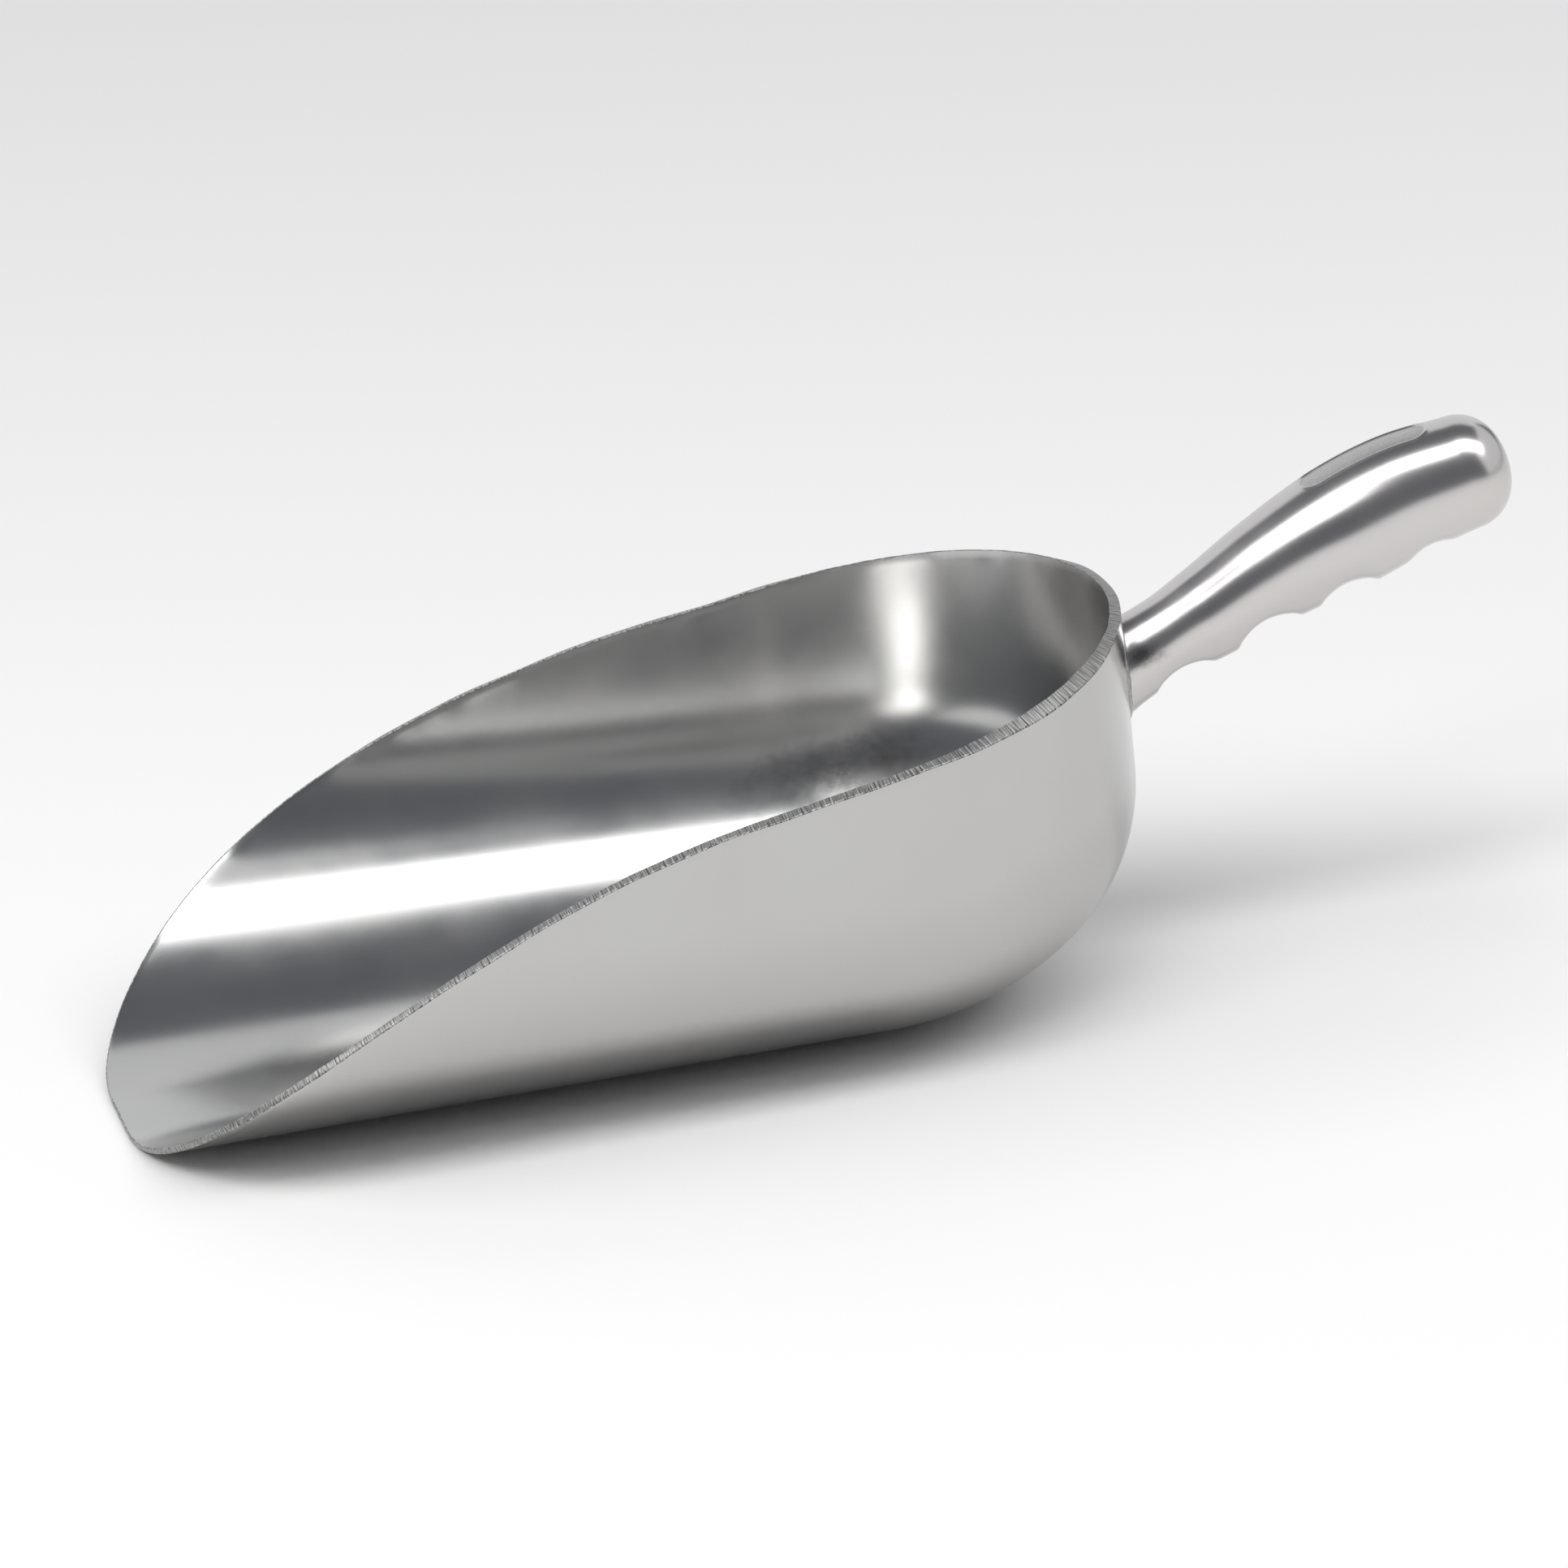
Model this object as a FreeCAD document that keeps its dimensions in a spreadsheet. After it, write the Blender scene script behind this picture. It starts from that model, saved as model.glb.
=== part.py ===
# Cast aluminium ice scoop, in millimetres.
# +X points along the handle, -X is the pouring lip, Z = 0 is the flat strip the scoop rests on.
import FreeCAD, Part
import math
import os

import Sketcher

Vector = FreeCAD.Vector

# Plain driving dimensions. Stations along the handle are measured from the centre of the back arc.
DIMENSIONS = {
    # bowl
    "arc_centre": 3.35,        # X of the vertical axis that the back wall is turned about
    "back_radius": 68.0,       # outside radius of the back wall, and half-width where it starts
    "belly_radius": 63.0,      # long arc from the resting strip, spanning the first 45 degrees
    "corner_radius": 44.0,     # tighter arc up to the upright wall, spanning the other 45 degrees
    "wall": 2.5,               # wall thickness
    "trough_length": 176.0,    # length of the tapered trough before the lip is cut
    "front_widening": 9.5,     # how much wider each side is at the front of that length
    "blank_height": 96.0,      # height of the walls before the rim is cut
    # rim
    "rim_height": 87.5,        # rim height at the very back
    "rim_slope": 9.6,          # fall of the straight part of the rim, degrees
    "rim_straight": 97.0,      # length over which the rim is straight, from the back
    "rim_arc": 256.5,          # radius of the long arc from there to the lip
    # handle, common
    "oval_ratio": 0.92,        # width of the grip over its height
    "dome_length": 11.3,       # length of the rounded end
    "finger_radius": 11.1,     # radius of each finger groove along the grip
    "finger_crown": 17.9,      # radius of each finger groove across the grip
    # label panel
    "panel_x": 130.5,
    "panel_z": 96.0,
    "panel_tilt": 19.0,
    "panel_length": 28.0,
    "panel_width": 8.0,
    "panel_depth": 0.5,
    "panel_rise": 30.0,        # height of the panel cutter
    # bead of weld round the root
    "bead_size": 1.6,
    "bead_z": 67.9,
    "bead_half": 11.4,
    "bead_reach": 40.0,        # how far past the wall the oval that trims the bead is carried
    "root_floor": 50.0,        # height at which the upright back wall is certain to be a cylinder
}

# Oval sections of the handle, from the root to the rounded end: x, z, tilt in degrees, half-height.
STATIONS = {
    "root": (61.0, 67.2, 14.5, 14.2),
    "throat": (70.0, 69.5, 18.5, 10.3),
    "neck": (77.9, 72.7, 23.0, 9.8),
    "waist": (89.1, 77.7, 25.0, 11.0),
    "swell": (104.1, 85.3, 25.0, 12.7),
    "palm": (120.1, 92.1, 21.5, 14.5),
    "heel": (135.9, 97.9, 15.5, 14.3),
    "end": (149.0, 100.7, 12.0, 13.3),
}

# Deepest line of each finger groove: x, z, tilt in degrees.
GROOVES = {
    "first": (81.2, 66.6, 21.5),
    "second": (100.0, 74.2, 27.0),
    "third": (119.1, 79.8, 23.0),
    "fourth": (140.3, 86.0, 16.0),
}

STATION_FIELDS = ("x", "z", "tilt", "half")
GROOVE_FIELDS = ("x", "z", "tilt")
HALF_TURN = 180
QUARTER_TURN = 90
TRIM_MARGIN = 10.0
SKIN_DEGREE = 3                # a higher degree makes the skin swing between the oval stations


def fill_sheet(doc):
    """Put every driving dimension in the spreadsheet, one aliased cell each."""
    sheet = doc.addObject("Spreadsheet::Sheet", "dims")
    values = dict(DIMENSIONS)
    for name, row in STATIONS.items():
        for field, value in zip(STATION_FIELDS, row):
            values[name + "_" + field] = value
    for name, row in GROOVES.items():
        for field, value in zip(GROOVE_FIELDS, row):
            values[name + "_groove_" + field] = value
    for line, (alias, value) in enumerate(values.items(), start=1):
        sheet.set("A%d" % line, alias)
        sheet.set("B%d" % line, str(value))
        sheet.setAlias("B%d" % line, alias)
    doc.recompute()
    return sheet


def origin_plane(body, role):
    """The body's own origin plane with the given role."""
    return next(plane for plane in body.Origin.OriginFeatures if plane.Role == role)


def new_sketch(body, name, role):
    """An empty sketch on one of the body's origin planes."""
    sketch = body.newObject("Sketcher::SketchObject", name)
    sketch.AttachmentSupport = [(origin_plane(body, role), "")]
    sketch.MapMode = "FlatFace"
    return sketch


def drive(sketch, kind, parts, start, expression):
    """Add a sized constraint and bind it to the sheet."""
    index = sketch.addConstraint(Sketcher.Constraint(kind, *parts, start))
    sketch.setExpression("Constraints[%d]" % index, expression)


def corner_terms(share):
    """Expressions for the wall section, where share scales both arcs with the local width."""
    sine = "sin(45 deg)"
    strip = ("(<<dims>>.back_radius - {s} * <<dims>>.belly_radius"
             " - (1 - {s}) * <<dims>>.corner_radius)").format(s=sine)
    belly = "(<<dims>>.belly_radius * %s)" % share
    corner = "(<<dims>>.corner_radius * %s)" % share
    return strip, belly, corner


def strip_half_width(sheet):
    """Half-width of the flat strip: what the two arcs leave of the back radius."""
    sine = math.sin(math.radians(45))
    return sheet.back_radius - sine * sheet.belly_radius - (1 - sine) * sheet.corner_radius


def half_outline(sketch, sheet, inset, width, side):
    """Belly arc, corner arc and upright wall of one side (+1 right, -1 left), left to be constrained."""
    strip = strip_half_width(sheet)
    share = (width - strip) / (sheet.back_radius - strip)
    belly = sheet.belly_radius * share - inset
    corner = sheet.corner_radius * share - inset
    sine = math.sin(math.radians(45))
    belly_centre = Vector(side * strip, belly + inset, 0)
    join = belly_centre + Vector(side * sine * belly, -sine * belly, 0)
    corner_centre = join + Vector(-side * sine * corner, sine * corner, 0)
    wall_foot = corner_centre + Vector(side * corner, 0, 0)
    wall_top = Vector(wall_foot.x, sheet.blank_height + inset, 0)
    turned = math.radians(45)
    down = -math.pi / 2
    normal = Vector(0, 0, 1)
    belly_circle = Part.Circle(belly_centre, normal, belly)
    corner_circle = Part.Circle(corner_centre, normal, corner)
    if side > 0:
        arcs = [Part.ArcOfCircle(belly_circle, down, down + turned),
                Part.ArcOfCircle(corner_circle, down + turned, 0)]
    else:
        arcs = [Part.ArcOfCircle(belly_circle, down - turned, down),
                Part.ArcOfCircle(corner_circle, -math.pi, down - turned)]
    return arcs + [Part.LineSegment(wall_foot, wall_top)]


def section_sketch(body, sheet, name, front, inset):
    """Closed cross-section of the trough at the back axis or at the front, set in by the wall or not."""
    sketch = new_sketch(body, name, "YZ_Plane")
    place = "<<dims>>.arc_centre"
    widening = "0"
    width = sheet.back_radius
    if front:
        place += " - <<dims>>.trough_length"
        widening = "<<dims>>.front_widening"
        width += sheet.front_widening
    sketch.setExpression("AttachmentOffset.Base.z", place)
    inset_value = sheet.wall if inset else 0.0
    inset_text = "<<dims>>.wall" if inset else "0"
    plain_strip = corner_terms("1")[0]
    share = "((<<dims>>.back_radius + {w} - {f}) / (<<dims>>.back_radius - {f}))".format(
        w=widening, f=plain_strip)
    strip, belly, corner = corner_terms(share)

    half = strip_half_width(sheet)
    base = sketch.addGeometry(Part.LineSegment(Vector(-half, inset_value, 0), Vector(half, inset_value, 0)))
    right = [sketch.addGeometry(edge) for edge in half_outline(sketch, sheet, inset_value, width, 1)]
    left = [sketch.addGeometry(edge) for edge in half_outline(sketch, sheet, inset_value, width, -1)]
    top_right = sketch.getPoint(right[2], 2)
    top_left = sketch.getPoint(left[2], 2)
    lid = sketch.addGeometry(Part.LineSegment(top_right, top_left))

    for first, first_end, second, second_end in (
            (base, 2, right[0], 1), (right[0], 2, right[1], 1), (right[1], 2, right[2], 1),
            (base, 1, left[0], 2), (left[0], 1, left[1], 2), (left[1], 1, left[2], 1)):
        sketch.addConstraint(Sketcher.Constraint("Tangent", first, first_end, second, second_end))
    sketch.addConstraint(Sketcher.Constraint("Coincident", right[2], 2, lid, 1))
    sketch.addConstraint(Sketcher.Constraint("Coincident", left[2], 2, lid, 2))
    sketch.addConstraint(Sketcher.Constraint("Symmetric", base, 1, base, 2, -2))
    sketch.addConstraint(Sketcher.Constraint("Horizontal", lid))
    sketch.addConstraint(Sketcher.Constraint("Equal", right[0], left[0]))
    sketch.addConstraint(Sketcher.Constraint("Equal", right[1], left[1]))
    drive(sketch, "DistanceX", (-1, 1, base, 2), half, strip)
    if inset:
        drive(sketch, "DistanceY", (-1, 1, base, 2), inset_value, inset_text)
    else:
        sketch.addConstraint(Sketcher.Constraint("PointOnObject", base, 2, -1))
    drive(sketch, "Radius", (right[0],), sketch.Geometry[right[0]].Radius, "%s - %s" % (belly, inset_text))
    drive(sketch, "Radius", (right[1],), sketch.Geometry[right[1]].Radius, "%s - %s" % (corner, inset_text))
    reach = "<<dims>>.back_radius + %s - %s" % (widening, inset_text)
    drive(sketch, "DistanceX", (-1, 1, right[2], 2), width - inset_value, reach)
    drive(sketch, "DistanceX", (left[2], 2, -1, 1), width - inset_value, reach)
    drive(sketch, "DistanceY", (-1, 1, right[2], 2), sheet.blank_height + inset_value,
          "<<dims>>.blank_height + %s" % inset_text)
    return sketch


def back_sketch(body, sheet, name, inset):
    """Half of the same section, in the side plane, to be turned round the back axis."""
    sketch = new_sketch(body, name, "XZ_Plane")
    sketch.setExpression("AttachmentOffset.Base.x", "<<dims>>.arc_centre")
    inset_value = sheet.wall if inset else 0.0
    inset_text = "<<dims>>.wall" if inset else "0"
    strip, belly, corner = corner_terms("1")
    half = strip_half_width(sheet)
    top = sheet.blank_height + inset_value
    edges = [Part.LineSegment(Vector(0, inset_value, 0), Vector(half, inset_value, 0))]
    edges += half_outline(sketch, sheet, inset_value, sheet.back_radius, 1)
    base, belly_arc, corner_arc, wall = [sketch.addGeometry(edge) for edge in edges]
    lid = sketch.addGeometry(Part.LineSegment(sketch.getPoint(wall, 2), Vector(0, top, 0)))
    axis = sketch.addGeometry(Part.LineSegment(Vector(0, top, 0), Vector(0, inset_value, 0)))

    for first, first_end, second, second_end in (
            (base, 2, belly_arc, 1), (belly_arc, 2, corner_arc, 1), (corner_arc, 2, wall, 1)):
        sketch.addConstraint(Sketcher.Constraint("Tangent", first, first_end, second, second_end))
    for first, second in ((wall, lid), (lid, axis), (axis, base)):
        sketch.addConstraint(Sketcher.Constraint("Coincident", first, 2, second, 1))
    sketch.addConstraint(Sketcher.Constraint("Horizontal", base))
    sketch.addConstraint(Sketcher.Constraint("Horizontal", lid))
    sketch.addConstraint(Sketcher.Constraint("PointOnObject", base, 1, -2))
    sketch.addConstraint(Sketcher.Constraint("PointOnObject", lid, 2, -2))
    drive(sketch, "DistanceX", (-1, 1, base, 2), half, strip)
    if inset:
        drive(sketch, "DistanceY", (-1, 1, base, 2), inset_value, inset_text)
    else:
        sketch.addConstraint(Sketcher.Constraint("PointOnObject", base, 2, -1))
    drive(sketch, "Radius", (belly_arc,), sheet.belly_radius - inset_value, "%s - %s" % (belly, inset_text))
    drive(sketch, "Radius", (corner_arc,), sheet.corner_radius - inset_value, "%s - %s" % (corner, inset_text))
    drive(sketch, "DistanceX", (-1, 1, wall, 2), sheet.back_radius - inset_value,
          "<<dims>>.back_radius - %s" % inset_text)
    drive(sketch, "DistanceY", (-1, 1, wall, 2), top, "<<dims>>.blank_height + %s" % inset_text)
    return sketch


def rim_sketch(body, sheet):
    """Everything above the rim line, seen from the side: a straight fall, then a long arc to the lip."""
    sketch = new_sketch(body, "rim_profile", "XZ_Plane")
    sketch.setExpression("AttachmentOffset.Base.x", "<<dims>>.arc_centre")
    slope = math.radians(sheet.rim_slope)
    back = Vector(sheet.back_radius, sheet.rim_height, 0)
    bend = back - Vector(sheet.rim_straight, sheet.rim_straight * math.tan(slope), 0)
    centre = bend + Vector(sheet.rim_arc * math.sin(slope), -sheet.rim_arc * math.cos(slope), 0)
    lip = Vector(centre.x - math.sqrt(sheet.rim_arc ** 2 - centre.y ** 2), 0, 0)
    start_angle = math.atan2(bend.y - centre.y, bend.x - centre.x)
    lip_angle = math.atan2(lip.y - centre.y, lip.x - centre.x)
    ceiling = sheet.blank_height + TRIM_MARGIN
    front = -sheet.trough_length - TRIM_MARGIN
    rear = sheet.back_radius + TRIM_MARGIN

    arc = sketch.addGeometry(Part.ArcOfCircle(
        Part.Circle(centre, Vector(0, 0, 1), sheet.rim_arc), start_angle, lip_angle))
    corners = [lip, Vector(front, 0, 0), Vector(front, ceiling, 0), Vector(rear, ceiling, 0),
               Vector(rear, sheet.rim_height + TRIM_MARGIN * math.tan(slope), 0), bend]
    lines = [sketch.addGeometry(Part.LineSegment(start, stop)) for start, stop in zip(corners, corners[1:])]
    sill, nose, roof, tail, fall = lines
    sketch.addConstraint(Sketcher.Constraint("Coincident", arc, 2, sill, 1))
    for first, second in zip(lines, lines[1:]):
        sketch.addConstraint(Sketcher.Constraint("Coincident", first, 2, second, 1))
    sketch.addConstraint(Sketcher.Constraint("Tangent", fall, 2, arc, 1))
    sketch.addConstraint(Sketcher.Constraint("PointOnObject", sill, 1, -1))
    sketch.addConstraint(Sketcher.Constraint("Horizontal", sill))
    sketch.addConstraint(Sketcher.Constraint("Horizontal", roof))
    sketch.addConstraint(Sketcher.Constraint("Vertical", nose))
    sketch.addConstraint(Sketcher.Constraint("Vertical", tail))
    margin = "%g" % TRIM_MARGIN
    fall_line = "<<dims>>.rim_height {sign} {run} * tan(<<dims>>.rim_slope * 1 deg)"
    drive(sketch, "DistanceX", (-1, 1, tail, 2), rear, "<<dims>>.back_radius + " + margin)
    drive(sketch, "DistanceY", (-1, 1, tail, 2), corners[4].y, fall_line.format(sign="+", run=margin))
    drive(sketch, "DistanceY", (-1, 1, fall, 2), bend.y, fall_line.format(sign="-", run="<<dims>>.rim_straight"))
    drive(sketch, "DistanceX", (fall, 2, tail, 2), rear - bend.x, "<<dims>>.rim_straight + " + margin)
    drive(sketch, "Radius", (arc,), sheet.rim_arc, "<<dims>>.rim_arc")
    drive(sketch, "DistanceX", (nose, 1, -1, 1), -front, "<<dims>>.trough_length + " + margin)
    drive(sketch, "DistanceY", (-1, 1, roof, 1), ceiling, "<<dims>>.blank_height + " + margin)
    return sketch


def make_bowl(doc, sheet):
    """Tapered trough with a turned back, hollowed, then cut along the rim."""
    body = doc.addObject("PartDesign::Body", "bowl_body")
    body.Label = "bowl"
    shells = []
    for inset in (False, True):
        ending = "_inside" if inset else "_outside"
        near = section_sketch(body, sheet, "trough_back" + ending, False, inset)
        far = section_sketch(body, sheet, "trough_front" + ending, True, inset)
        doc.recompute()
        loft = body.newObject("PartDesign::%sLoft" % ("Subtractive" if inset else "Additive"),
                              "trough" + ending)
        loft.Profile = near
        loft.Sections = [far]
        loft.Ruled = True
        doc.recompute()
        turned = back_sketch(body, sheet, "back_profile" + ending, inset)
        doc.recompute()
        back = body.newObject("PartDesign::%s" % ("Groove" if inset else "Revolution"), "back" + ending)
        back.Profile = turned
        back.ReferenceAxis = (turned, ["V_Axis"])
        back.Angle = HALF_TURN
        back.Midplane = True
        doc.recompute()
        shells.append(body.Shape.Volume)
    rim = rim_sketch(body, sheet)
    doc.recompute()
    cut = body.newObject("PartDesign::Pocket", "rim_cut")
    cut.Profile = rim
    cut.Type = "ThroughAll"
    cut.Midplane = True
    doc.recompute()
    solid, hollow = shells
    if not solid > hollow > body.Shape.Volume:
        raise RuntimeError("a cut in the bowl removed nothing: %s" % [solid, hollow, body.Shape.Volume])
    return body


def tilt_from_upright(obj, tilt):
    """Turn an object's own Z onto a line that climbs from +X by the given tilt."""
    obj.Placement = FreeCAD.Placement(Vector(), FreeCAD.Rotation(Vector(0, 1, 0), QUARTER_TURN))
    obj.setExpression("Placement.Rotation.Angle", "(90 - %s) * 1 deg" % tilt)


def put_at(obj, x, z):
    """Place an object in the middle plane, x measured from the back axis."""
    obj.setExpression("Placement.Base.x", "<<dims>>.arc_centre + %s" % x)
    obj.setExpression("Placement.Base.z", z)


def grip_loft(doc, name, inset):
    """Smooth skin through the oval stations, set in by an expression."""
    ovals = []
    for station in STATIONS:
        cell = "<<dims>>.%s_" % station
        oval = doc.addObject("Part::Ellipse", "%s_%s" % (name, station))
        tilt_from_upright(oval, cell + "tilt")
        put_at(oval, cell + "x", cell + "z")
        oval.setExpression("MajorRadius", "%shalf - %s" % (cell, inset))
        oval.setExpression("MinorRadius", "%shalf * <<dims>>.oval_ratio - %s" % (cell, inset))
        ovals.append(oval)
    loft = doc.addObject("Part::Loft", name)
    loft.Sections = ovals
    loft.Solid = True
    loft.Ruled = False
    loft.MaxDegree = SKIN_DEGREE
    return loft


def end_dome(doc):
    """Rounded end of the grip: half an ellipsoid shows past the last station."""
    dome = doc.addObject("Part::Ellipsoid", "end_dome")
    tilt_from_upright(dome, "<<dims>>.end_tilt")
    put_at(dome, "<<dims>>.end_x", "<<dims>>.end_z")
    dome.Angle1 = -QUARTER_TURN
    dome.setExpression("Radius1", "<<dims>>.dome_length")
    dome.setExpression("Radius2", "<<dims>>.end_half")
    dome.setExpression("Radius3", "<<dims>>.end_half * <<dims>>.oval_ratio")
    return dome


def finger_cutters(doc):
    """One ring for each finger, its hole crowned round the underside and touching the deepest line."""
    cutters = []
    for name in GROOVES:
        cell = "<<dims>>.%s_groove_" % name
        angle = "(%stilt * 1 deg)" % cell
        cutter = doc.addObject("Part::Torus", name + "_finger")
        tilt_from_upright(cutter, cell + "tilt")
        cutter.setExpression("Radius1", "<<dims>>.finger_crown + <<dims>>.finger_radius")
        cutter.setExpression("Radius2", "<<dims>>.finger_radius")
        put_at(cutter, "%sx - <<dims>>.finger_crown * sin%s" % (cell, angle),
               "%sz + <<dims>>.finger_crown * cos%s" % (cell, angle))
        cutters.append(cutter)
    return cutters


def panel_cutter(doc):
    """Oblong prism over the top of the grip, less a slightly smaller grip, so its floor follows the skin."""
    slab = doc.addObject("Part::Box", "panel_slab")
    slab.Placement = FreeCAD.Placement(Vector(), FreeCAD.Rotation(Vector(0, 1, 0), -QUARTER_TURN))
    slab.setExpression("Placement.Rotation.Angle", "-<<dims>>.panel_tilt * 1 deg")
    straight = "(<<dims>>.panel_length - <<dims>>.panel_width)"
    slab.setExpression("Length", straight)
    slab.setExpression("Width", "<<dims>>.panel_width")
    slab.setExpression("Height", "<<dims>>.panel_rise")
    put_at(slab, "<<dims>>.panel_x - {s} / 2 * cos(<<dims>>.panel_tilt * 1 deg)".format(s=straight),
           "<<dims>>.panel_z - {s} / 2 * sin(<<dims>>.panel_tilt * 1 deg)".format(s=straight))
    slab.setExpression("Placement.Base.y", "-<<dims>>.panel_width / 2")
    shapes = [slab]
    for name, sign in (("panel_lower_end", "-"), ("panel_upper_end", "+")):
        end = doc.addObject("Part::Cylinder", name)
        end.Placement = FreeCAD.Placement(Vector(), FreeCAD.Rotation(Vector(0, 1, 0), -QUARTER_TURN))
        end.setExpression("Placement.Rotation.Angle", "-<<dims>>.panel_tilt * 1 deg")
        end.setExpression("Radius", "<<dims>>.panel_width / 2")
        end.setExpression("Height", "<<dims>>.panel_rise")
        put_at(end, "<<dims>>.panel_x {g} {s} / 2 * cos(<<dims>>.panel_tilt * 1 deg)".format(g=sign, s=straight),
               "<<dims>>.panel_z {g} {s} / 2 * sin(<<dims>>.panel_tilt * 1 deg)".format(g=sign, s=straight))
        shapes.append(end)
    prism = doc.addObject("Part::MultiFuse", "panel_prism")
    prism.Shapes = shapes
    core = grip_loft(doc, "panel_core", "<<dims>>.panel_depth")
    recess = doc.addObject("Part::Cut", "panel_recess")
    recess.Base = prism
    recess.Tool = core
    return recess


def back_cylinder(doc, name, extra):
    """The upright back wall as a full cylinder, from the height where the wall stands straight."""
    cylinder = doc.addObject("Part::Cylinder", name)
    cylinder.setExpression("Radius", "<<dims>>.back_radius + %s" % extra)
    cylinder.setExpression("Height", "<<dims>>.blank_height")
    put_at(cylinder, "0", "<<dims>>.root_floor - <<dims>>.bead_size")
    return cylinder


def cut_from(doc, name, base, tool):
    """Base less tool."""
    cut = doc.addObject("Part::Cut", name)
    cut.Base = base
    cut.Tool = tool
    return cut


def make_handle(doc):
    """Solid grip: oval skin and rounded end, less the fingers, the label panel and the back wall."""
    whole = doc.addObject("Part::Fuse", "grip_and_end")
    whole.Base = grip_loft(doc, "grip", "0")
    whole.Tool = end_dome(doc)
    fingers = doc.addObject("Part::MultiFuse", "fingers")
    fingers.Shapes = finger_cutters(doc)
    grooved = cut_from(doc, "grooved_grip", whole, fingers)
    labelled = cut_from(doc, "labelled_grip", grooved, panel_cutter(doc))
    handle = cut_from(doc, "handle_part", labelled, back_cylinder(doc, "wall_at_root", "0"))
    handle.Label = "handle"
    return handle


def make_weld_bead(doc, handle):
    """Ring of weld metal that fills the corner between the handle's root and the back wall."""
    oval = doc.addObject("Part::Ellipse", "bead_oval")
    oval.Placement = FreeCAD.Placement(Vector(), FreeCAD.Rotation(Vector(0, 1, 0), QUARTER_TURN))
    put_at(oval, "0", "<<dims>>.bead_z")
    oval.setExpression("MajorRadius", "<<dims>>.bead_half + <<dims>>.bead_size")
    oval.setExpression("MinorRadius", "<<dims>>.bead_half * <<dims>>.oval_ratio + <<dims>>.bead_size")
    boss = doc.addObject("Part::Extrusion", "bead_boss")
    boss.Base = oval
    boss.DirMode = "Custom"
    boss.Dir = Vector(1, 0, 0)
    boss.Solid = True
    boss.setExpression("LengthFwd", "<<dims>>.back_radius + <<dims>>.bead_reach")
    outer = back_cylinder(doc, "bead_outer_wall", "<<dims>>.bead_size")
    saddle = doc.addObject("Part::Common", "bead_saddle")
    saddle.Base = outer
    saddle.Tool = boss
    ring = cut_from(doc, "bead_saddle_outside", saddle, back_cylinder(doc, "bead_inner_wall", "0"))
    bead = cut_from(doc, "weld_bead_part", ring, handle)
    bead.Label = "weld_bead"
    return bead


def check(doc, parts):
    """Stop if any object failed or any part is not one sound solid."""
    for obj in doc.Objects:
        if {"Invalid", "Error"} & set(obj.State):
            raise RuntimeError("%s failed: %s" % (obj.Name, obj.State))
    for part in parts:
        shape = part.Shape
        if shape.isNull() or not shape.isValid() or len(shape.Solids) != 1:
            raise RuntimeError("%s is not one valid solid" % part.Label)
        print("%-10s volume %9.1f mm3  box %s" % (part.Label, shape.Volume, shape.BoundBox))


def main():
    doc = FreeCAD.newDocument("ice_scoop")
    sheet = fill_sheet(doc)
    bowl = make_bowl(doc, sheet)
    handle = make_handle(doc)
    bead = make_weld_bead(doc, handle)
    parts = [bowl, handle, bead]
    doc.recompute()
    check(doc, parts)
    os.makedirs("parts", exist_ok=True)
    for part in parts:
        part.Shape.exportStep("parts/%s.step" % part.Label)


main()
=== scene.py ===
import math

import bmesh
import bpy
import numpy as np
from mathutils import Matrix, Quaternion, Vector


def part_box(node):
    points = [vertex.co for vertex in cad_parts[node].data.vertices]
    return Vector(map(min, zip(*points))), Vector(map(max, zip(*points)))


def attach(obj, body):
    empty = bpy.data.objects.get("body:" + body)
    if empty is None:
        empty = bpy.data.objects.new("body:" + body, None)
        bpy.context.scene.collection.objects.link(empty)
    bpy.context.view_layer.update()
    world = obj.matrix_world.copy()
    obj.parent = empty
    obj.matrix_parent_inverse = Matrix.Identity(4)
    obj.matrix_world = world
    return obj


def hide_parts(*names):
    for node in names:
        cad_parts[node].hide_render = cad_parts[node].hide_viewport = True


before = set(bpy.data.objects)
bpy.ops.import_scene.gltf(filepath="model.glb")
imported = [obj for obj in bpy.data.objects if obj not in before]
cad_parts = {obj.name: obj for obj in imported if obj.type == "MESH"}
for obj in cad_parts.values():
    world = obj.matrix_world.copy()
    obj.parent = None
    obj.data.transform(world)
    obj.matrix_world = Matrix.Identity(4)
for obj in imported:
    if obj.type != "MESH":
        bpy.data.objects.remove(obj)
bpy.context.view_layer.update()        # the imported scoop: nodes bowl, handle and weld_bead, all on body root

mm = 0.001
mergeDistance = 0.002 * mm     # points closer than this become one
nearlyZero = 1e-7
farAway = 1.0                  # in metres, beyond anything on the scoop


def linearColour(hexCode):
    # each sRGB channel c becomes c/12.92 near black, else ((c + 0.055) / 1.055) to the power 2.4
    channels = [int(hexCode[i:i + 2], 16) / 255 for i in (1, 3, 5)]
    return [c / 12.92 if c <= 0.04045 else ((c + 0.055) / 1.055) ** 2.4 for c in channels] + [1.0]


def addNode(tree, kind, inputs=None, **properties):
    # one node; an input is a value or another node's output, by socket name or number
    node = tree.nodes.new(kind)
    for name, value in properties.items():
        setattr(node, name, value)
    for socket, value in (inputs or {}).items():
        if isinstance(value, bpy.types.NodeSocket):
            tree.links.new(value, node.inputs[socket])
        else:
            node.inputs[socket].default_value = value
    return node


def newMaterial(name):
    # a new material and its emptied node tree
    material = bpy.data.materials.new(name)
    material.use_nodes = True
    material.node_tree.nodes.clear()
    return material, material.node_tree


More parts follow.
